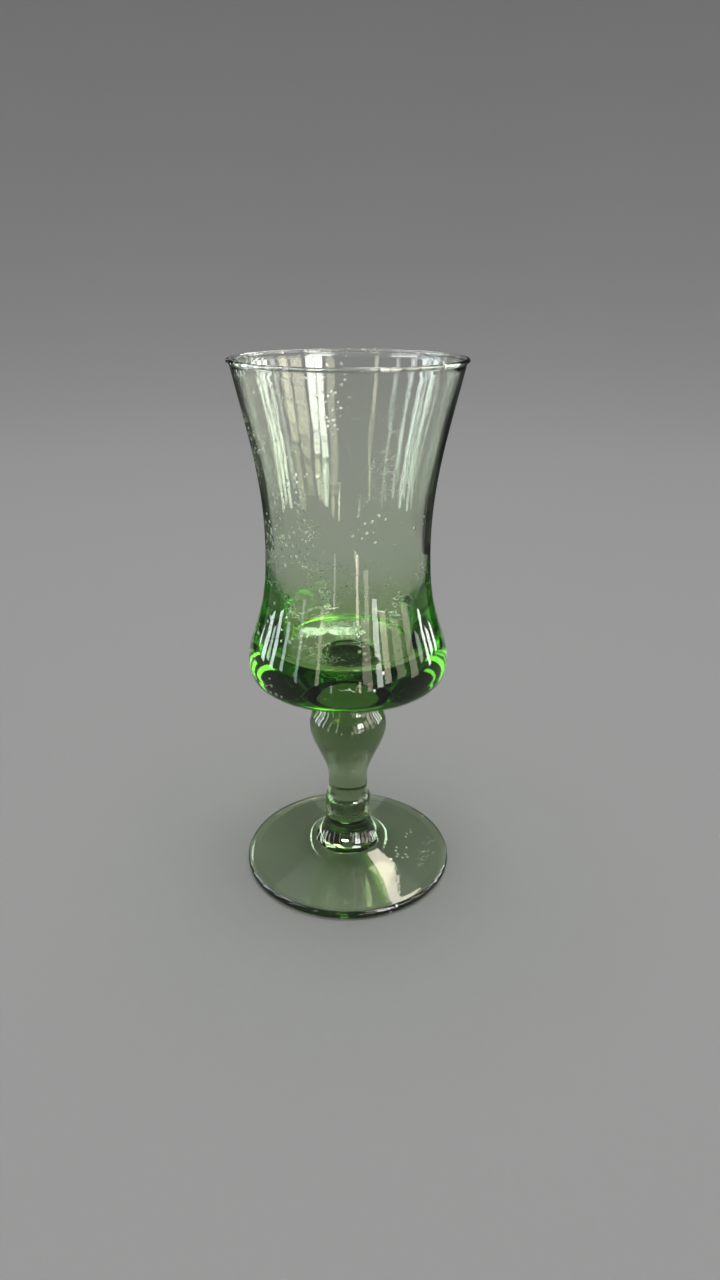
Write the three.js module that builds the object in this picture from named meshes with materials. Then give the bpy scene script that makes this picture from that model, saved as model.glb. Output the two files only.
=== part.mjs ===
// A small stemmed liqueur glass in green-tinted glass: a waisted bowl with a thick base, a wafer,
// a baluster stem, a collar and a conical foot that is hollow underneath, fused end to end.
// Millimetres, +Z up, origin at the centre of the plane that the foot rests on.
import * as THREE from "three";

// Foot: a shallow cone with a rounded edge that turns up into a boss
const footRadius = 25.1;
const footEdge = 2.2; // thickness of the rounded edge band
const footHeight = 14.4; // from the resting plane to the collar
const footWall = 2.5; // thickness of the cone
const restWidth = 1.8; // flat ring that touches the table
const hollowFlat = 9.2; // radius where the hollow underneath starts to slope
const coneTopHeight = 6.2; // where the cone turns up into the boss
const coneTopRadius = 9.2;
const bossRadius = 5.3; // where the boss meets the collar

// Collar: a ring of glass between the foot and the stem
const collarHeight = 4.2;
const collarRadius = 5.5;

// Stem: an inverted baluster, solid, narrow at the bottom and full at the shoulder
const stemHeight = 25.6;
const stemFootRadius = 4.85;
const neckRadius = 4.73;
const neckRise = 4.2; // height of the narrowest point above the collar
const shoulderRadius = 9.06;
const shoulderDrop = 6.9; // distance of the widest point below the stem's top
const stemTopRadius = 6.6;

// Wafer: the pad of glass that joins the stem to the bowl
const waferHeight = 3;
const waferRadius = 7.7;

// Bowl: sloping underside, bulge, waist and flared rim; heights are above its own joint face
const bowlHeight = 72.8;
const bowlFootRadius = 7.2;
const undersideSlope = 0.5; // rise over run of the underside next to the wafer
const bulgeRadius = 22.6;
const bulgeHeight = 7.5;
const heelRound = 2.8; // inset of the rounded heel below the bulge
const heelRise = 4.1; // height of the rounded heel
const waistRadius = 17.9;
const waistHeight = 34.7;
const rimRadius = 24.3;
const rimFlare = 0.22; // run over rise of the wall under the rim
const rimWall = 0.8;
const rimBead = 0.46; // radius of the rounded bead along the rim
const rimLean = 0.5; // how far the bead stands out from the middle of the wall
const waistWall = 1.5;
const bulgeWall = 6.4; // the wall beside the floor, measured level
const baseThickness = 7.4; // glass between the joint face and the floor of the bowl
const floorRound = 5.4; // rise of the rounded corner between the floor and the wall

// How far each curve holds its direction before it turns, as a share of its run or rise
const full = 0.62; // close to a quarter of an ellipse
const hold = { boss: 0.35, bossTop: 0.55, neck: 0.38, shoulder: 0.28, underside: 0.3, heel: 0.4 };
const wallHold = { bulge: 0.24, belowWaist: 0.62, aboveWaist: 0.38, rim: 0.34 };

const turns = 64; // facets around the axis

const glass = (color) =>
  new THREE.MeshStandardMaterial({ color, roughness: 0.04, metalness: 0 });

const at = (radius, height) => new THREE.Vector2(radius, height);

// A smooth stretch of an outline from a to b, led by the two handles
const bend = (a, handleA, handleB, b, steps) =>
  new THREE.CubicBezierCurve(a, handleA, handleB, b).getPoints(steps);

// A solid of revolution about +Z that stands on height z; its outline runs from axis to axis
function turned(name, outline, z, material) {
  const profile = outline.filter(
    (point, i) => i === 0 || point.distanceTo(outline[i - 1]) > 1e-6,
  );
  const geometry = new THREE.LatheGeometry(profile, turns);
  geometry.rotateX(Math.PI / 2);
  const mesh = new THREE.Mesh(geometry, material);
  mesh.name = name;
  mesh.position.z = z;
  return mesh;
}

function foot() {
  const half = footEdge / 2;
  const restOuter = footRadius - half;
  const restInner = restOuter - restWidth;
  const hollowTop = coneTopHeight - footWall;
  const shelf = at(Math.min(hollowFlat, restInner), hollowTop);
  const edge = new THREE.EllipseCurve(restOuter, half, half, half, -Math.PI / 2, Math.PI / 2);
  const bossRise = footHeight - coneTopHeight;
  const bossRun = coneTopRadius - bossRadius;
  return [
    ...bend(at(0, hollowTop), shelf, shelf, at(restInner, 0), 10),
    ...edge.getPoints(8),
    ...bend(
      at(coneTopRadius, coneTopHeight),
      at(coneTopRadius - bossRun * full, coneTopHeight + bossRise * (1 - full) * hold.boss),
      at(bossRadius, footHeight - bossRise * hold.bossTop),
      at(bossRadius, footHeight),
      9,
    ),
    at(0, footHeight),
  ];
}

function collar() {
  const lowest = at(bossRadius, 0);
  const highest = at(stemFootRadius, collarHeight);
  const middle = collarHeight / 2;
  const lower = at(collarRadius, middle * (1 - full));
  const upper = at(collarRadius, middle * (1 + full));
  return [
    at(0, 0),
    ...bend(lowest, lower, lower, at(collarRadius, middle), 4),
    ...bend(at(collarRadius, middle), upper, upper, highest, 4),
    at(0, collarHeight),
  ];
}

function stem() {
  const shoulder = stemHeight - shoulderDrop;
  const rise = shoulder - neckRise;
  const flank = at(neckRadius, neckRise / 2);
  return [
    at(0, 0),
    ...bend(at(stemFootRadius, 0), flank, flank, at(neckRadius, neckRise), 3),
    ...bend(
      at(neckRadius, neckRise),
      at(neckRadius, neckRise + rise * hold.neck),
      at(shoulderRadius, shoulder - rise * hold.shoulder),
      at(shoulderRadius, shoulder),
      14,
    ),
    ...bend(
      at(shoulderRadius, shoulder),
      at(shoulderRadius, shoulder + shoulderDrop * full),
      at(stemTopRadius, stemHeight - shoulderDrop * (1 - full)),
      at(stemTopRadius, stemHeight),
      7,
    ),
    at(0, stemHeight),
  ];
}

function wafer() {
  const lower = at(waferRadius, waferHeight * (1 - full));
  const upper = at(waferRadius, waferHeight * full);
  return [
    at(0, 0),
    ...bend(at(stemTopRadius, 0), lower, upper, at(bowlFootRadius, waferHeight), 6),
    at(0, waferHeight),
  ];
}

function bowl() {
  const heelRadius = bulgeRadius - heelRound;
  const heelHeight = bulgeHeight - heelRise;
  const level = heelRadius - bowlFootRadius;
  const turn = level * hold.underside;
  const climb = waistHeight - bulgeHeight;
  const wallTop = bowlHeight - 2 * rimBead;
  const flareRise = wallTop - waistHeight;
  const waistHandle = waistHeight + flareRise * wallHold.aboveWaist;
  const flareHandle = flareRise * wallHold.rim;
  const outerRim = rimRadius - rimBead - rimLean + rimWall / 2;
  const innerRim = outerRim - rimWall;
  const innerWaist = waistRadius - waistWall;
  const floorRadius = bulgeRadius - bulgeWall;
  const floorEnd = baseThickness + floorRound;
  const bead = new THREE.EllipseCurve(
    rimRadius - rimBead,
    bowlHeight - rimBead,
    rimBead,
    rimBead,
    -Math.PI / 8,
    Math.PI + Math.PI / 8,
  );
  return [
    at(0, 0),
    ...bend(
      at(bowlFootRadius, 0),
      at(bowlFootRadius + turn, turn * undersideSlope),
      at(heelRadius - level * hold.heel, heelHeight),
      at(heelRadius, heelHeight),
      6,
    ),
    ...bend(
      at(heelRadius, heelHeight),
      at(heelRadius + heelRound * full, heelHeight),
      at(bulgeRadius, bulgeHeight - heelRise * full),
      at(bulgeRadius, bulgeHeight),
      7,
    ),
    ...bend(
      at(bulgeRadius, bulgeHeight),
      at(bulgeRadius, bulgeHeight + climb * wallHold.bulge),
      at(waistRadius, waistHeight - climb * wallHold.belowWaist),
      at(waistRadius, waistHeight),
      9,
    ),
    ...bend(
      at(waistRadius, waistHeight),
      at(waistRadius, waistHandle),
      at(outerRim - rimFlare * flareHandle, wallTop - flareHandle),
      at(outerRim, wallTop),
      9,
    ),
    ...bead.getPoints(10),
    ...bend(
      at(innerRim, wallTop),
      at(innerRim - rimFlare * flareHandle, wallTop - flareHandle),
      at(innerWaist, waistHandle),
      at(innerWaist, waistHeight),
      8,
    ),
    ...bend(
      at(floorRadius, floorEnd),
      at(floorRadius, floorEnd - floorRound * full),
      at(floorRadius * full, baseThickness),
      at(0, baseThickness),
      9,
    ),
  ];
}

const collarZ = footHeight;
const stemZ = collarZ + collarHeight;
const waferZ = stemZ + stemHeight;
const bowlZ = waferZ + waferHeight;

const glassware = new THREE.Group();
glassware.add(
  turned("foot", foot(), 0, glass(0xa9bfa6)),
  turned("collar", collar(), collarZ, glass(0x9bb58f)),
  turned("stem", stem(), stemZ, glass(0x97b08d)),
  turned("wafer", wafer(), waferZ, glass(0x8fab82)),
  turned("bowl", bowl(), bowlZ, glass(0xa8c29c)),
);

export default glassware;
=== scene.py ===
# A small stemmed liqueur glass in green-tinted glass, standing on a pale studio floor.
# Five gathers of glass are fused end to end on one axis: foot, collar, stem, wafer and bowl.
import math

import bpy
import numpy as np
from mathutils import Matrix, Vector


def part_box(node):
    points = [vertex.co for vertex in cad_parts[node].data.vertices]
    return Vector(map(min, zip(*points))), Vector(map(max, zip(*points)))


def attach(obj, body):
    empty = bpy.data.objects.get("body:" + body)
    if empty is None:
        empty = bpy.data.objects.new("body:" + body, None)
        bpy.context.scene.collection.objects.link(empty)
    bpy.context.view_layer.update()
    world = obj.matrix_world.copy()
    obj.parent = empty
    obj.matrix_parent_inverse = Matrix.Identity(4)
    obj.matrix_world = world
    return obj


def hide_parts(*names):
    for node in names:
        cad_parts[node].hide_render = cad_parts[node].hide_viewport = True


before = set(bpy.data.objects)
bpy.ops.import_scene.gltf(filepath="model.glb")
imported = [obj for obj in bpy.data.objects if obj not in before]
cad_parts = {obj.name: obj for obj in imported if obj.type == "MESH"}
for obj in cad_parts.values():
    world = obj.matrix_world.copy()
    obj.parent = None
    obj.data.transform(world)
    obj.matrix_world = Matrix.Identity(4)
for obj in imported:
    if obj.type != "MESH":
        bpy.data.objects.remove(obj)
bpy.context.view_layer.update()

mm = 0.001
scene = bpy.context.scene


# a cubic curve from a to b led by two handles: every point is the mix of the four with
# weights (1-t)^3, 3t(1-t)^2, 3t^2(1-t) and t^3
def bend(a, handleA, handleB, b, steps):
    t = np.linspace(0, 1, steps)[:, None]
    a, handleA, handleB, b = (np.array(p, float) for p in (a, handleA, handleB, b))
    return (1 - t) ** 3 * a + 3 * t * (1 - t) ** 2 * handleA + 3 * t * t * (1 - t) * handleB + t ** 3 * b


def line(a, b, steps):
    return np.array(a, float) + np.linspace(0, 1, steps)[:, None] * (np.array(b, float) - np.array(a, float))


# part of a circle, from one angle to another in half turns
def arc(centre, radius, start, end, steps):
    turn = np.linspace(start, end, steps)[:, None] * math.pi
    return np.array(centre, float) + radius * np.hstack([np.cos(turn), np.sin(turn)])


# stretches joined end to end, without the points they share
def outline(*stretches):
    points = np.vstack(stretches)
    step = np.hypot(*np.diff(points, axis=0).T)
    return points[np.r_[True, step > 1e-8]]


# A turned surface: the point at angle a on the outline point (r, z) is
# ((r + wave) cos a, (r + wave) sin a, z), where wave is the small unevenness of hand-worked glass.
# The outline starts and ends on the axis, so both ends close in one point.
def turnedGlass(name, points, around, wave, node, fusedHeights, creases):
    angle = np.arange(around) * 2 * math.pi / around
    ring = points[1:-1]
    r, z = ring[:, :1], ring[:, 1:]
    uneven = wave(r, z, angle[None, :])
    radius = r + uneven
    grid = np.stack(np.broadcast_arrays(radius * np.cos(angle), radius * np.sin(angle), z), axis=-1)
    verts = np.vstack([[[0, 0, points[0, 1]]], grid.reshape(-1, 3), [[0, 0, points[-1, 1]]]])
    rows, last = len(ring), len(verts) - 1
    here = np.arange(around)
    after = (here + 1) % around
    at = 1 + np.arange(rows)[:, None] * around
    quads = np.stack([at[:-1] + here, at[:-1] + after, at[1:] + after, at[1:] + here], axis=-1).reshape(-1, 4)
    start = np.stack([np.zeros_like(here), 1 + after, 1 + here], axis=-1)
    end = np.stack([np.full_like(here, last), at[-1] + here, at[-1] + after], axis=-1)
    mesh = bpy.data.meshes.new(name)
    mesh.from_pydata(verts.tolist(), [], start.tolist() + quads.tolist() + end.tolist())
    # the flat ends fused to a neighbour are clear inside the glass
    centres = np.empty(len(mesh.polygons) * 3)
    mesh.polygons.foreach_get("center", centres)
    normals = np.empty(len(mesh.polygons) * 3)
    mesh.polygons.foreach_get("normal", normals)
    level = np.abs(normals[2::3]) > 0.9999
    fused = np.zeros(len(mesh.polygons))
    for height in fusedHeights:
        fused[level & (np.abs(centres[2::3] - height) < 1e-6)] = 1
    mesh.attributes.new("fused", "FLOAT", "FACE").data.foreach_set("value", fused)
    mesh.polygons.foreach_set("use_smooth", fused < 0.5)
    # edges along the ends and along each crease keep their corner
    edges = np.empty(len(mesh.edges) * 2, int)
    mesh.edges.foreach_get("vertices", edges)
    edges = edges.reshape(-1, 2)
    heights = verts[:, 2]
    flat = np.abs(heights[edges[:, 0]] - heights[edges[:, 1]]) < 1e-9
    sharp = np.zeros(len(edges), bool)
    for height in list(fusedHeights) + list(creases):
        sharp |= flat & (np.abs(heights[edges[:, 0]] - height) < 1e-7)
    mesh.attributes.new("sharp_edge", "BOOLEAN", "EDGE").data.foreach_set("value", sharp)
    piece = bpy.data.objects.new(name, mesh)
    scene.collection.objects.link(piece)
    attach(piece, "root")
    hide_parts(node)
    print("turned", name, len(mesh.polygons), "faces")
    return piece


fuseGap = 0.01 * mm  # the two faces of a fused joint stand this far to each side of it
full = 0.62  # a curve's hold on its direction, for a full curve close to a quarter of an ellipse

footLow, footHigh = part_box("foot")
collarLow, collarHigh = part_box("collar")
stemLow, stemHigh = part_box("stem")
waferLow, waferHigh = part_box("wafer")
bowlLow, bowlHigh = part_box("bowl")
tops = [high[2] for high in (footHigh, collarHigh, stemHigh, waferHigh, bowlHigh)]
print("tops of the pieces in mm", [round(top / mm, 2) for top in tops])


# Slow swellings round the axis that drift with height: the sum of sin(lobe a + phase + drift z), each
# lobe weaker than the one before. size is the largest swelling, seed picks the phases, drift is in
# radians a metre, and lobes says how many swellings go round.
def handmade(z, angle, size, seed, drift, lobes):
    phase = np.random.default_rng(seed).uniform(0, 2 * math.pi, len(lobes))
    total = 0
    for i, lobe in enumerate(lobes):
        total = total + np.sin(lobe * angle + phase[i] + drift * z * (1 + 0.4 * i)) / (1 + 0.35 * i)
    return size * total / len(lobes)


foot = {
    "radius": footHigh[0],
    "edge": 2.2 * mm,
    "rest": 1.8 * mm,
    "wall": 2.5 * mm,
    "coneTop": (9.2 * mm, 6.2 * mm),
    "hollowFlat": 9.2 * mm,
    "boss": 5.3 * mm,
    "bossHold": 0.35,
    "bossTopHold": 0.55,
    "wave": (0.05 * mm, 11, 60, (2, 3, 5)),  # size, seed, drift and lobes of the swellings
    "roundEdge": 8 * mm,  # within this of the edge and the joint the swellings fade out
    "roundJoint": 4 * mm,
}


def footOutline():
    half = foot["edge"] / 2
    restOuter = foot["radius"] - half
    restInner = restOuter - foot["rest"]
    coneR, coneZ = foot["coneTop"]
    hollowTop = coneZ - foot["wall"]
    shelf = (foot["hollowFlat"], hollowTop)
    top = footHigh[2] - fuseGap
    rise, run = top - coneZ, coneR - foot["boss"]
    edge = arc((restOuter, half), half, -0.5, 0.5, 24)
    return outline(
        bend((0, hollowTop), shelf, shelf, (restInner, 0), 44),
        edge,
        line(edge[-1], foot["coneTop"], 26),
        bend(
            foot["coneTop"],
            (coneR - run * full, coneZ + rise * (1 - full) * foot["bossHold"]),
            (foot["boss"], top - rise * foot["bossTopHold"]),
            (foot["boss"], top),
            34,
        ),
        line((foot["boss"], top), (0, top), 5),
    )


def footWave(r, z, angle):
    fromEdge = np.clip((foot["radius"] - r) / foot["roundEdge"], 0, 1)
    fromJoint = np.clip((footHigh[2] - z) / foot["roundJoint"], 0, 1)
    return handmade(z, angle, *foot["wave"]) * fromEdge * fromJoint


turnedGlass("footGlass", footOutline(), 256, footWave, "foot", [footHigh[2] - fuseGap], [0])


collar = {"radius": 5.5 * mm, "below": foot["boss"], "above": 4.85 * mm}


def collarOutline():
    low, high = collarLow[2] + fuseGap, collarHigh[2] - fuseGap
    middle = (low + high) / 2
    half = (high - low) / 2
    lower = (collar["radius"], middle - half * full)
    upper = (collar["radius"], middle + half * full)
    return outline(
        line((0, low), (collar["below"], low), 5),
        bend((collar["below"], low), lower, lower, (collar["radius"], middle), 16),
        bend((collar["radius"], middle), upper, upper, (collar["above"], high), 16),
        line((collar["above"], high), (0, high), 5),
    )


def still(r, z, angle):
    return 0 * r * angle


turnedGlass("collarGlass", collarOutline(), 192, still, "collar",
            [collarLow[2] + fuseGap, collarHigh[2] - fuseGap], [])


stem = {
    "neck": 4.73 * mm,
    "neckRise": 4.2 * mm,
    "shoulder": stemHigh[0],
    "shoulderDrop": 6.9 * mm,
    "top": 6.6 * mm,
    "neckHold": 0.38,
    "shoulderHold": 0.28,
    "wave": (0.06 * mm, 5, 180, (1, 2, 3)),
    "roundJoint": 4 * mm,
}


def stemOutline():
    low, high = stemLow[2] + fuseGap, stemHigh[2] - fuseGap
    neckZ = low + stem["neckRise"]
    shoulderZ = high - stem["shoulderDrop"]
    rise = shoulderZ - neckZ
    flank = (stem["neck"], low + stem["neckRise"] / 2)
    return outline(
        line((0, low), (collar["above"], low), 5),
        bend((collar["above"], low), flank, flank, (stem["neck"], neckZ), 14),
        bend((stem["neck"], neckZ), (stem["neck"], neckZ + rise * stem["neckHold"]),
             (stem["shoulder"], shoulderZ - rise * stem["shoulderHold"]), (stem["shoulder"], shoulderZ), 60),
        bend((stem["shoulder"], shoulderZ), (stem["shoulder"], shoulderZ + stem["shoulderDrop"] * full),
             (stem["top"], high - stem["shoulderDrop"] * (1 - full)), (stem["top"], high), 30),
        line((stem["top"], high), (0, high), 5),
    )


def stemWave(r, z, angle):
    ends = np.clip(np.minimum(z - stemLow[2], stemHigh[2] - z) / stem["roundJoint"], 0, 1)
    return handmade(z, angle, *stem["wave"]) * ends


turnedGlass("stemGlass", stemOutline(), 224, stemWave, "stem",
            [stemLow[2] + fuseGap, stemHigh[2] - fuseGap], [])


wafer = {"side": 7.7 * mm, "above": 7.2 * mm}  # side is where the handles of its rounded side stand


def waferOutline():
    low, high = waferLow[2] + fuseGap, waferHigh[2] - fuseGap
    tall = high - low
    return outline(
        line((0, low), (stem["top"], low), 5),
        bend((stem["top"], low), (wafer["side"], low + tall * (1 - full)),
             (wafer["side"], low + tall * full), (wafer["above"], high), 20),
        line((wafer["above"], high), (0, high), 5),
    )


turnedGlass("waferGlass", waferOutline(), 192, still, "wafer",
            [waferLow[2] + fuseGap, waferHigh[2] - fuseGap], [])


bowl = {
    "underside": 0.5,  # slope next to the wafer
    "undersideHold": 0.3,
    "heelHold": 0.4,
    "heel": (2.8 * mm, 4.1 * mm),
    "bulge": (22.6 * mm, 7.5 * mm),
    "bulgeHold": 0.24,
    "belowWaistHold": 0.62,
    "waist": (17.9 * mm, 34.7 * mm),
    "aboveWaistHold": 0.38,
    "rimHold": 0.34,
    "rimFlare": 0.22,
    "rimWall": 0.8 * mm,
    "bead": 0.46 * mm,
    "lean": 0.5 * mm,
    "waistWall": 1.5 * mm,
    "bulgeWall": 6.4 * mm,
    "base": 7.4 * mm,
    "floorRound": 5.4 * mm,
    "outerWave": (0.05 * mm, 3, 70, (1, 2, 3, 5)),
    "innerWave": (0.20 * mm, 8, 90, (1, 2, 3, 4, 7, 11)),
    "roundRim": 14 * mm,
    "roundAxis": 12 * mm,
    "roundJoint": 3 * mm,
}


def bowlOutline():
    low = bowlLow[2] + fuseGap
    rimR, rimZ = bowlHigh[0], bowlHigh[2]
    bulgeR, bulgeZ = bowl["bulge"][0], low + bowl["bulge"][1]
    heelR, heelZ = bulgeR - bowl["heel"][0], bulgeZ - bowl["heel"][1]
    waistR, waistZ = bowl["waist"][0], low + bowl["waist"][1]
    level = heelR - wafer["above"]
    turn = level * bowl["undersideHold"]
    climb = waistZ - bulgeZ
    wallTop = rimZ - 2 * bowl["bead"]
    flareRise = wallTop - waistZ
    outerRim = rimR - bowl["bead"] - bowl["lean"] + bowl["rimWall"] / 2
    innerRim = outerRim - bowl["rimWall"]
    handle = flareRise * bowl["rimHold"]
    waistHandle = waistZ + flareRise * bowl["aboveWaistHold"]
    innerWaist = waistR - bowl["waistWall"]
    floorR = bulgeR - bowl["bulgeWall"]
    floorZ = low + bowl["base"]
    floorEnd = floorZ + bowl["floorRound"]
    bead = arc((rimR - bowl["bead"], rimZ - bowl["bead"]), bowl["bead"], -1 / 8, 9 / 8, 26)
    return outline(
        line((0, low), (wafer["above"], low), 5),
        bend((wafer["above"], low), (wafer["above"] + turn, low + turn * bowl["underside"]),
             (heelR - level * bowl["heelHold"], heelZ), (heelR, heelZ), 26),
        bend((heelR, heelZ), (heelR + bowl["heel"][0] * full, heelZ),
             (bulgeR, bulgeZ - bowl["heel"][1] * full), (bulgeR, bulgeZ), 28),
        bend((bulgeR, bulgeZ), (bulgeR, bulgeZ + climb * bowl["bulgeHold"]),
             (waistR, waistZ - climb * bowl["belowWaistHold"]), (waistR, waistZ), 44),
        bend((waistR, waistZ), (waistR, waistHandle),
             (outerRim - bowl["rimFlare"] * handle, wallTop - handle), (outerRim, wallTop), 44),
        bead,
        bend((innerRim, wallTop), (innerRim - bowl["rimFlare"] * handle, wallTop - handle),
             (innerWaist, waistHandle), (innerWaist, waistZ), 40),
        line((innerWaist, waistZ), (floorR, floorEnd), 24),
        bend((floorR, floorEnd), (floorR, floorEnd - bowl["floorRound"] * full),
             (floorR * full, floorZ), (0, floorZ), 44),
    )


bowlPoints = bowlOutline()
rimRow = int(np.argmax(bowlPoints[:, 1]))


def bowlWave(r, z, angle):
    inner = (np.arange(len(r)) >= rimRow)[:, None]
    outside = handmade(z, angle, *bowl["outerWave"])
    inside = handmade(z, angle, *bowl["innerWave"])
    fromRim = np.clip((bowlHigh[2] - z) / bowl["roundRim"], 0, 1)
    fromAxis = np.clip(r / bowl["roundAxis"], 0, 1)
    fromJoint = np.clip((z - bowlLow[2]) / bowl["roundJoint"], 0, 1)
    return np.where(inner, inside * fromAxis, outside * fromJoint) * fromRim


turnedGlass("bowlGlass", bowlPoints, 288, bowlWave, "bowl", [bowlLow[2] + fuseGap], [])


# one socket of a node tree; arithmetic on it adds Math nodes
class Wire:
    def __init__(self, tree, socket):
        self.tree, self.socket = tree, socket

    def node(self, kind, settings=None, inputs=None, out=0):
        made = self.tree.nodes.new(kind)
        for name, value in (settings or {}).items():
            setattr(made, name, value)
        for name, value in (inputs or {}).items():
            if isinstance(value, Wire):
                self.tree.links.new(value.socket, made.inputs[name])
            else:
                made.inputs[name].default_value = value
        return Wire(self.tree, made.outputs[out] if made.outputs else None)

    def sums(self, operation, a, b=0.0):
        return self.node("ShaderNodeMath", {"operation": operation}, {0: a, 1: b})

    def __add__(self, other):
        return self.sums("ADD", self, other)

    def __sub__(self, other):
        return self.sums("SUBTRACT", self, other)

    def __rsub__(self, other):
        return self.sums("SUBTRACT", other, self)

    def __mul__(self, other):
        return self.sums("MULTIPLY", self, other)

    def __pow__(self, other):
        return self.sums("POWER", self, other)

    __radd__, __rmul__ = __add__, __mul__

    # 0 up to low and 1 from high on, with a soft step between, or the other way round if low is the larger
    def between(self, low, high):
        return self.node("ShaderNodeMapRange", {"interpolation_type": "SMOOTHSTEP"},
                         {"Value": self, "From Min": low, "From Max": high})

    def noise(self, scale, detail, roughness, stretch=(1, 1, 1)):
        place = self.node("ShaderNodeMapping", None, {"Vector": self, "Scale": stretch})
        return self.node("ShaderNodeTexNoise", None,
                         {"Vector": place, "Scale": scale, "Detail": detail, "Roughness": roughness}, "Fac")


def freshTree(name):
    material = bpy.data.materials.new(name)
    material.use_nodes = True
    material.node_tree.nodes.clear()
    return material, Wire(material.node_tree, None)


# every scale is a count of waves in a metre
glass = {
    "index": 1.52,
    "bowlTaken": (78, 40, 116),  # light lost in a metre of glass, as natural logarithms
    "stemTaken": (110, 79, 138),  # the stem and the foot are greyer
    "relief": 0.05 * mm,  # the tallest dried drop; the other reliefs are shares of it
    "bowlRipple": 0.40,
    "stemRipple": 0.10,
    "footRipple": 0.15,
    "rippleScale": 330,
    "streakRelief": 0.10,
    "streakScale": 1500,
    "smearRoughness": 0.008,
    "smearScale": 130,
}

# what a drink leaves behind as it dries: round drops and curled hairlines, in patches
dried = {
    "dropScale": 560,
    "dropEdge": (0.24, 0.16),
    "dropPatchScale": 110,
    "hairScale": 230,
    "hairEdge": (0.00003, 0.00001),
    "hairPatchScale": 75,
    "hairShare": 0.8,
    "hairRelief": 0.5,
    "patchFade": 0.04,
    "roughness": 0.55,
    "metallic": 0.55,
}

# a grainy film on the inner floor of the bowl, where the glass itself is smooth
film = {
    "floor": bowlLow[2] + bowl["base"],
    "radius": 17.2 * mm,
    "fade": 0.5 * mm,
    "under": (-0.4 * mm, -0.2 * mm),
    "over": (6 * mm, 1 * mm),
    "grainScale": 2200,
    "grainEdge": (0.48, 0.58),
    "patchScale": 170,
    "patchEdge": (0.48, 0.60),
    "relief": 0.16,
    "roughness": 0.3,
    "metallic": 0.25,
    "smoothing": 0.9,
}


# 1 near the inner floor of the bowl and 0 on the rest of it
def nearFloor(axes):
    radius = (axes[0] * axes[0] + axes[1] * axes[1]) ** 0.5
    inner = radius.between(film["radius"], film["radius"] - film["fade"])
    above = axes[2].between(*[film["floor"] + edge for edge in film["under"]])
    below = axes[2].between(*[film["floor"] + edge for edge in film["over"]])
    return below * inner * above


# Clear green glass with soft vertical streaks. residue says where drops and hairlines dried: a side
# above zero puts more of them on the left, and a smaller drops or hairs gives more of each. The hidden
# faces at a fused joint are a glass that bends no light, so the two pieces are seen as one.
def greenGlass(name, taken, ripple, residue=None, filmed=False):
    material, wire = freshTree(name)
    place = wire.node("ShaderNodeTexCoord", out="Object")
    ripples = place.noise(glass["rippleScale"], 1, 0.4, (1, 1, 0.05))
    streaks = place.noise(glass["streakScale"], 2, 0.6, (1, 1, 0.03))
    smears = place.noise(glass["smearScale"], 4, 0.6, (1, 1, 0.5))
    rough = smears.between(0.5, 0.72) * glass["smearRoughness"]
    height = ripples * ripple + streaks * glass["streakRelief"]
    inputs = {"Base Color": (1, 1, 1, 1), "Transmission Weight": 1.0, "IOR": glass["index"]}
    if residue is not None:
        axes = [wire.node("ShaderNodeSeparateXYZ", None, {0: place}, axis) for axis in "XYZ"]
        lean = axes[0] * -residue["side"]
        fade = dried["patchFade"]
        cells = wire.node("ShaderNodeTexVoronoi", {"distance": "EUCLIDEAN"},
                          {"Vector": place, "Scale": dried["dropScale"], "Randomness": 1.0}, "Distance")
        patches = place.noise(dried["dropPatchScale"], 2, 0.5) + lean
        drops = cells.between(*dried["dropEdge"]) * patches.between(residue["drops"], residue["drops"] + fade)
        curl = place.noise(dried["hairScale"], 2, 0.5) - 0.5
        patches = place.noise(dried["hairPatchScale"], 1, 0.5) + lean
        strands = (curl * curl).between(*dried["hairEdge"])
        hairs = strands * patches.between(residue["hairs"], residue["hairs"] + fade)
        cover = drops + hairs * dried["hairShare"]
        metallic = cover * dried["metallic"]
        rough = rough + cover * dried["roughness"]
        if filmed:
            near = nearFloor(axes)
            grain = place.noise(film["grainScale"], 2, 0.7).between(*film["grainEdge"])
            patches = place.noise(film["patchScale"], 3, 0.6).between(*film["patchEdge"])
            veil = near * grain * patches
            metallic = metallic + veil * film["metallic"]
            rough = rough + veil * film["roughness"]
            height = height * (1 - near * film["smoothing"]) + veil * film["relief"]
        height = height + drops + hairs * dried["hairRelief"]
        inputs["Metallic"] = metallic
    fused = wire.node("ShaderNodeAttribute", {"attribute_name": "fused"}, None, "Fac")
    bare = 1 - fused
    inputs["Roughness"] = rough * bare
    inputs["Normal"] = wire.node("ShaderNodeBump", None,
                                 {"Distance": glass["relief"], "Height": height * bare})
    seen = wire.node("ShaderNodeBsdfPrincipled", None, inputs)
    hidden = wire.node("ShaderNodeBsdfPrincipled", None,
                       {"Base Color": (1, 1, 1, 1), "Transmission Weight": 1.0, "Roughness": 0.0, "IOR": 1.0})
    surface = wire.node("ShaderNodeMixShader", None, {0: fused, 1: seen, 2: hidden})
    density = max(taken) * 1.1  # a little over the most that is taken, so that each share stays below 1
    kept = [1 - share / density for share in taken]
    body = wire.node("ShaderNodeVolumeAbsorption", None, {"Color": (*kept, 1), "Density": density})
    wire.node("ShaderNodeOutputMaterial", None, {"Surface": surface, "Volume": body})
    return material


bowlResidue = {"side": 3.5, "drops": 0.60, "hairs": 0.60}
footResidue = {"side": -1.5, "drops": 0.655, "hairs": 0.74}

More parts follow.
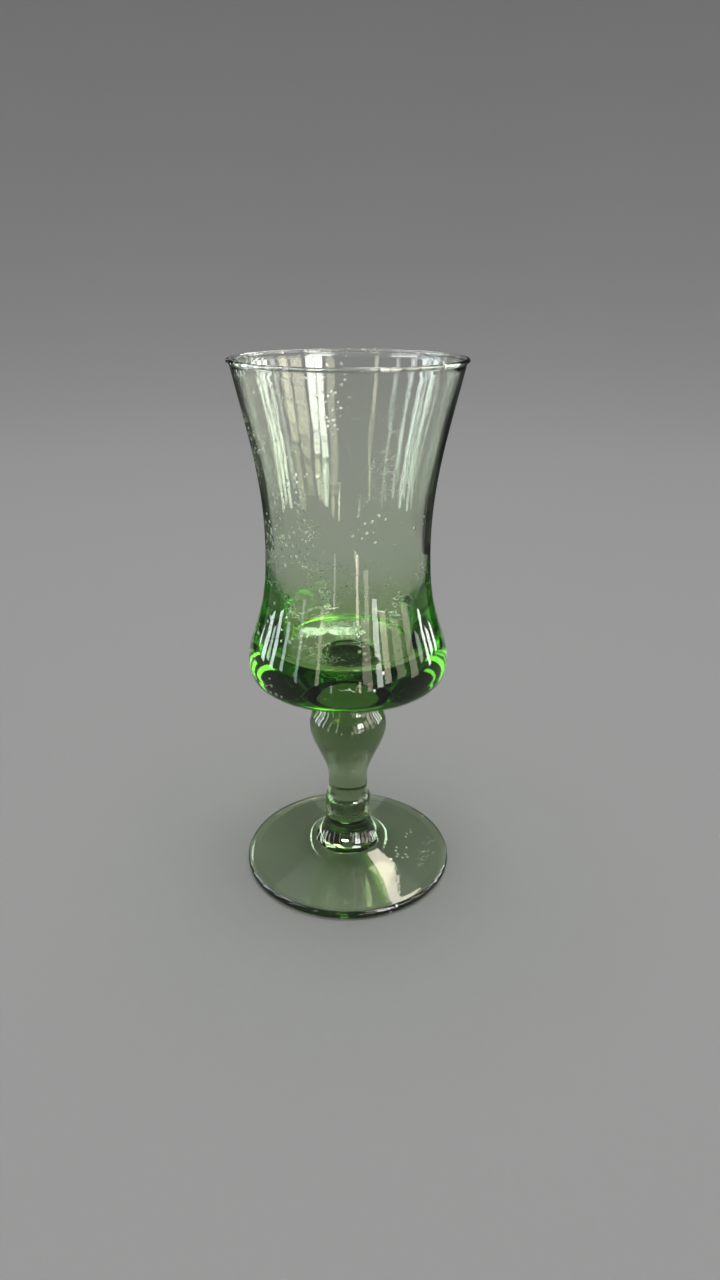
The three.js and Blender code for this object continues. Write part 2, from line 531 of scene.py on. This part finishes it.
bowlMaterial = greenGlass("bowlGreenGlass", glass["bowlTaken"], glass["bowlRipple"], bowlResidue, True)
stemMaterial = greenGlass("stemGreenGlass", glass["stemTaken"], glass["stemRipple"])
footMaterial = greenGlass("footGreenGlass", glass["stemTaken"], glass["footRipple"], footResidue)
for pieceName, material in {"bowlGlass": bowlMaterial, "waferGlass": stemMaterial, "stemGlass": stemMaterial,
                            "collarGlass": stemMaterial, "footGlass": footMaterial}.items():
    bpy.data.objects[pieceName].data.materials.append(material)
print("glass ready")


# all in metres; the floor is a wide disc that turns up into a wall all the way round
studio = {
    "radius": 2.4,
    "flat": 0.3,  # share of the radius that is flat
    "turn": (0.8, 0.25),  # where the turn's handles stand, as shares of the radius
    "wallTop": 1.6,
    "drop": 0.02 * mm,
    "colour": (0.42, 0.42, 0.415, 1),
    "patchColour": (0.36, 0.36, 0.36, 1),
    "patchShare": 0.1,
    "patchScale": 3,
    "roughness": 0.9,
    "air": (0.33, 0.335, 0.34, 1),
}


# each point is (r cos a, r sin a, z) for a point (r, z) of the outline
def studioFloor():
    around = 128
    radius = studio["radius"]
    flat = radius * studio["flat"]
    turnUp = bend((flat, 0), (radius * studio["turn"][0], 0), (radius, radius * studio["turn"][1]),
                  (radius, studio["wallTop"]), 48)
    points = np.vstack([[(0, 0)], line((0.05, 0), (flat, 0), 12), turnUp[1:]])
    angle = np.arange(around) * 2 * math.pi / around
    r, z = points[1:, :1], points[1:, 1:]
    grid = np.stack(np.broadcast_arrays(r * np.cos(angle), r * np.sin(angle), z - studio["drop"]), axis=-1)
    verts = np.vstack([[[0, 0, -studio["drop"]]], grid.reshape(-1, 3)])
    here = np.arange(around)
    after = (here + 1) % around
    at = 1 + np.arange(len(points) - 1)[:, None] * around
    quads = np.stack([at[:-1] + here, at[1:] + here, at[1:] + after, at[:-1] + after], axis=-1).reshape(-1, 4)
    middle = np.stack([np.zeros_like(here), 1 + here, 1 + after], axis=-1)
    mesh = bpy.data.meshes.new("studioFloor")
    mesh.from_pydata(verts.tolist(), [], middle.tolist() + quads.tolist())
    mesh.polygons.foreach_set("use_smooth", np.ones(len(mesh.polygons), bool))
    floor = bpy.data.objects.new("studioFloor", mesh)
    scene.collection.objects.link(floor)
    material, wire = freshTree("paleFloor")
    place = wire.node("ShaderNodeTexCoord", out="Object")
    patches = place.noise(studio["patchScale"], 2, 0.5).between(0.3, 0.7) * studio["patchShare"]
    colour = wire.node("ShaderNodeMix", {"data_type": "RGBA"},
                       {"Factor": patches, 6: studio["colour"], 7: studio["patchColour"]}, 2)
    surface = wire.node("ShaderNodeBsdfPrincipled", None,
                        {"Base Color": colour, "Roughness": studio["roughness"], "Specular IOR Level": 0.0})
    wire.node("ShaderNodeOutputMaterial", None, {"Surface": surface})
    mesh.materials.append(material)


studioFloor()


# 1 on a path that some surface has mirrored, and 0 on one that came straight through
def mirrored(wire):
    return wire.node("ShaderNodeMath", {"operation": "GREATER_THAN"},
                     {0: wire.node("ShaderNodeLightPath", out="Glossy Depth"), 1: 0.5})


# A lamp panel seen only in what the glass mirrors. It stands at an angle round the glass, in degrees
# from the camera towards the right, and leans from level (0) to upright (a quarter turn).
def panel(name, turn, away, height, size, lean, radiance, colour):
    lamp = bpy.data.lights.new(name, "AREA")
    lamp.shape = "RECTANGLE"
    lamp.size, lamp.size_y = size
    lamp.energy = radiance * math.pi * size[0] * size[1]
    lamp.color = colour
    lamp.use_nodes = True
    lamp.node_tree.nodes.clear()
    wire = Wire(lamp.node_tree, None)
    glow = wire.node("ShaderNodeEmission", None, {"Strength": mirrored(wire)})
    wire.node("ShaderNodeOutputLight", None, {"Surface": glow})
    holder = bpy.data.objects.new(name, lamp)
    turn = math.radians(turn)
    holder.location = (away * math.sin(turn), -away * math.cos(turn), height)
    holder.rotation_euler = (lean, 0, turn)
    holder.visible_camera = holder.visible_diffuse = False
    scene.collection.objects.link(holder)


cream = (1.0, 0.90, 0.74)
sky = (0.86, 0.94, 1.0)
white = (1.0, 1.0, 0.98)

# upright strips: name, turn, away, width, (bottom, top), radiance, colour
for name, turn, away, width, (bottom, top), radiance, colour in (
    ("frontLowA", 12, 0.25, 0.012, (0.0, 0.07), 9, cream),
    ("frontLowB", 23, 0.25, 0.022, (0.01, 0.06), 4, cream),
    ("frontLowC", -17, 0.25, 0.010, (0.0, 0.05), 4, white),
    ("rightNear", 21, 0.45, 0.075, (0.05, 0.30), 3, cream),
    ("rightPaneA", 34, 0.45, 0.055, (0.0, 0.14), 9, white),
    ("rightPaneB", 34, 0.45, 0.062, (0.155, 0.38), 24, white),
    ("rightPaneC", 44, 0.45, 0.060, (0.025, 0.15), 5.5, cream),
    ("rightPaneD", 44, 0.45, 0.070, (0.165, 0.38), 20, white),
    ("rightWallA", 60, 0.45, 0.09, (0.04, 0.13), 2.5, cream),
    ("rightWallB", 61, 0.45, 0.11, (0.15, 0.36), 5, cream),
    ("rightWallC", 77, 0.45, 0.08, (0.0, 0.16), 3, cream),
    ("rightWallD", 77, 0.45, 0.09, (0.17, 0.36), 7, cream),
    ("rightWallE", 91, 0.45, 0.05, (0.05, 0.30), 4, white),
    ("rightEdgeA", 102, 0.45, 0.035, (0.0, 0.34), 12, white),
    ("rightEdgeB", 111, 0.45, 0.045, (0.02, 0.26), 10, white),
    ("rightEdgeC", 121, 0.45, 0.035, (0.0, 0.34), 9, white),
    ("leftNear", -33, 0.45, 0.03, (0.02, 0.36), 4, cream),
    ("leftStripA", -58, 0.45, 0.03, (0.0, 0.36), 4, sky),
    ("leftStripB", -78, 0.45, 0.035, (0.04, 0.36), 6.5, sky),
    ("leftWindowA", -93, 0.45, 0.045, (0.01, 0.40), 10, sky),
    ("leftWindowB", -101, 0.45, 0.035, (0.03, 0.36), 6, sky),
    ("leftWindowC", -110, 0.45, 0.055, (0.0, 0.40), 8, sky),
    ("leftEdge", -124, 0.45, 0.03, (0.0, 0.30), 5, white),
):
    panel(name, turn, away, (bottom + top) / 2, (width, top - bottom), math.pi / 2, radiance, colour)

# boxes that hang high and look down at the glass: name, turn, away, height, size, radiance, colour
for name, turn, away, height, size, radiance, colour in (
    ("backBox", 155, 0.40, 0.72, (0.15, 0.30), 11, cream),
    ("frontBox", 38, 0.42, 0.62, (0.26, 0.16), 16, white),
    ("backWindow", 172, 0.80, 0.55, (0.24, 0.11), 24, sky),
    ("sideBox", -75, 0.42, 0.50, (0.30, 0.10), 12, white),
):
    panel(name, turn, away, height, size, math.atan2(away, height), radiance, colour)

card = {"turn": 149, "away": 0.24, "height": 0.30, "width": 0.20, "colour": (0.10, 0.10, 0.10, 1)}


# A dark card behind the glass to one side. It is seen only in what the glass mirrors, inside its
# walls too, and draws the edges of the glass dark.
def darkCard(name, side):
    turn = math.radians(card["turn"] * side)
    across = np.array([math.cos(turn), math.sin(turn), 0]) * card["width"] / 2
    middle = np.array([math.sin(turn), -math.cos(turn), 0]) * card["away"]
    up = np.array([0, 0, card["height"]])
    corners = [middle - across, middle + across, middle + across + up, middle - across + up]
    mesh = bpy.data.meshes.new(name)
    mesh.from_pydata([corner.tolist() for corner in corners], [], [(0, 1, 2, 3)])
    piece = bpy.data.objects.new(name, mesh)
    scene.collection.objects.link(piece)
    piece.visible_camera = piece.visible_diffuse = piece.visible_shadow = False
    material, wire = freshTree(name)
    dark = wire.node("ShaderNodeBsdfDiffuse", None, {"Color": card["colour"]})
    clear = wire.node("ShaderNodeBsdfTransparent")
    surface = wire.node("ShaderNodeMixShader", None, {0: mirrored(wire), 1: clear, 2: dark})
    wire.node("ShaderNodeOutputMaterial", None, {"Surface": surface})
    mesh.materials.append(material)


darkCard("cardRight", 1)
darkCard("cardLeft", -1)

overhead = {"radiance": 2.7, "across": 1.6, "height": 1.7}


# a wide round softbox that lights the floor and the glass from above, without a mirror image in either
def hangOverhead():
    lamp = bpy.data.lights.new("overhead", "AREA")
    lamp.shape, lamp.size = "DISK", overhead["across"]
    lamp.energy = overhead["radiance"] * math.pi * math.pi * (overhead["across"] / 2) ** 2
    holder = bpy.data.objects.new("overhead", lamp)
    holder.location = (0, 0, overhead["height"])
    holder.visible_camera = holder.visible_glossy = False
    scene.collection.objects.link(holder)


hangOverhead()

world = bpy.data.worlds.new("studioAir")
scene.world = world
world.use_nodes = True
world.node_tree.nodes["Background"].inputs["Color"].default_value = studio["air"]

camera = {
    "away": 178.1 * mm,
    "height": 133.4 * mm,
    "tilt": 22.76,
    "lens": 23.85,
    "sensor": 36,
    "shift": 0.0094,
    "sees": (0.005, 20),
}


def setCamera():
    eye = bpy.data.cameras.new("viewer")
    eye.lens, eye.sensor_width, eye.sensor_fit = camera["lens"], camera["sensor"], "AUTO"
    eye.clip_start, eye.clip_end = camera["sees"]
    eye.shift_x = camera["shift"]
    holder = bpy.data.objects.new("viewer", eye)
    holder.location = (0, -camera["away"], camera["height"])
    holder.rotation_euler = (math.radians(90 - camera["tilt"]), 0, 0)
    scene.collection.objects.link(holder)
    scene.camera = holder


setCamera()

scene.view_settings.view_transform = "Standard"
scene.cycles.max_bounces = 32  # a path crosses up to ten faces of glass
scene.cycles.transmission_bounces = 32
scene.cycles.glossy_bounces = 12
scene.cycles.transparent_max_bounces = 48
scene.cycles.diffuse_bounces = 4
scene.cycles.volume_bounces = 0
scene.cycles.caustics_reflective = True
scene.cycles.caustics_refractive = True
scene.cycles.blur_glossy = 0.2
scene.cycles.sample_clamp_indirect = 12
scene.cycles.use_denoising = True
print("studio ready")
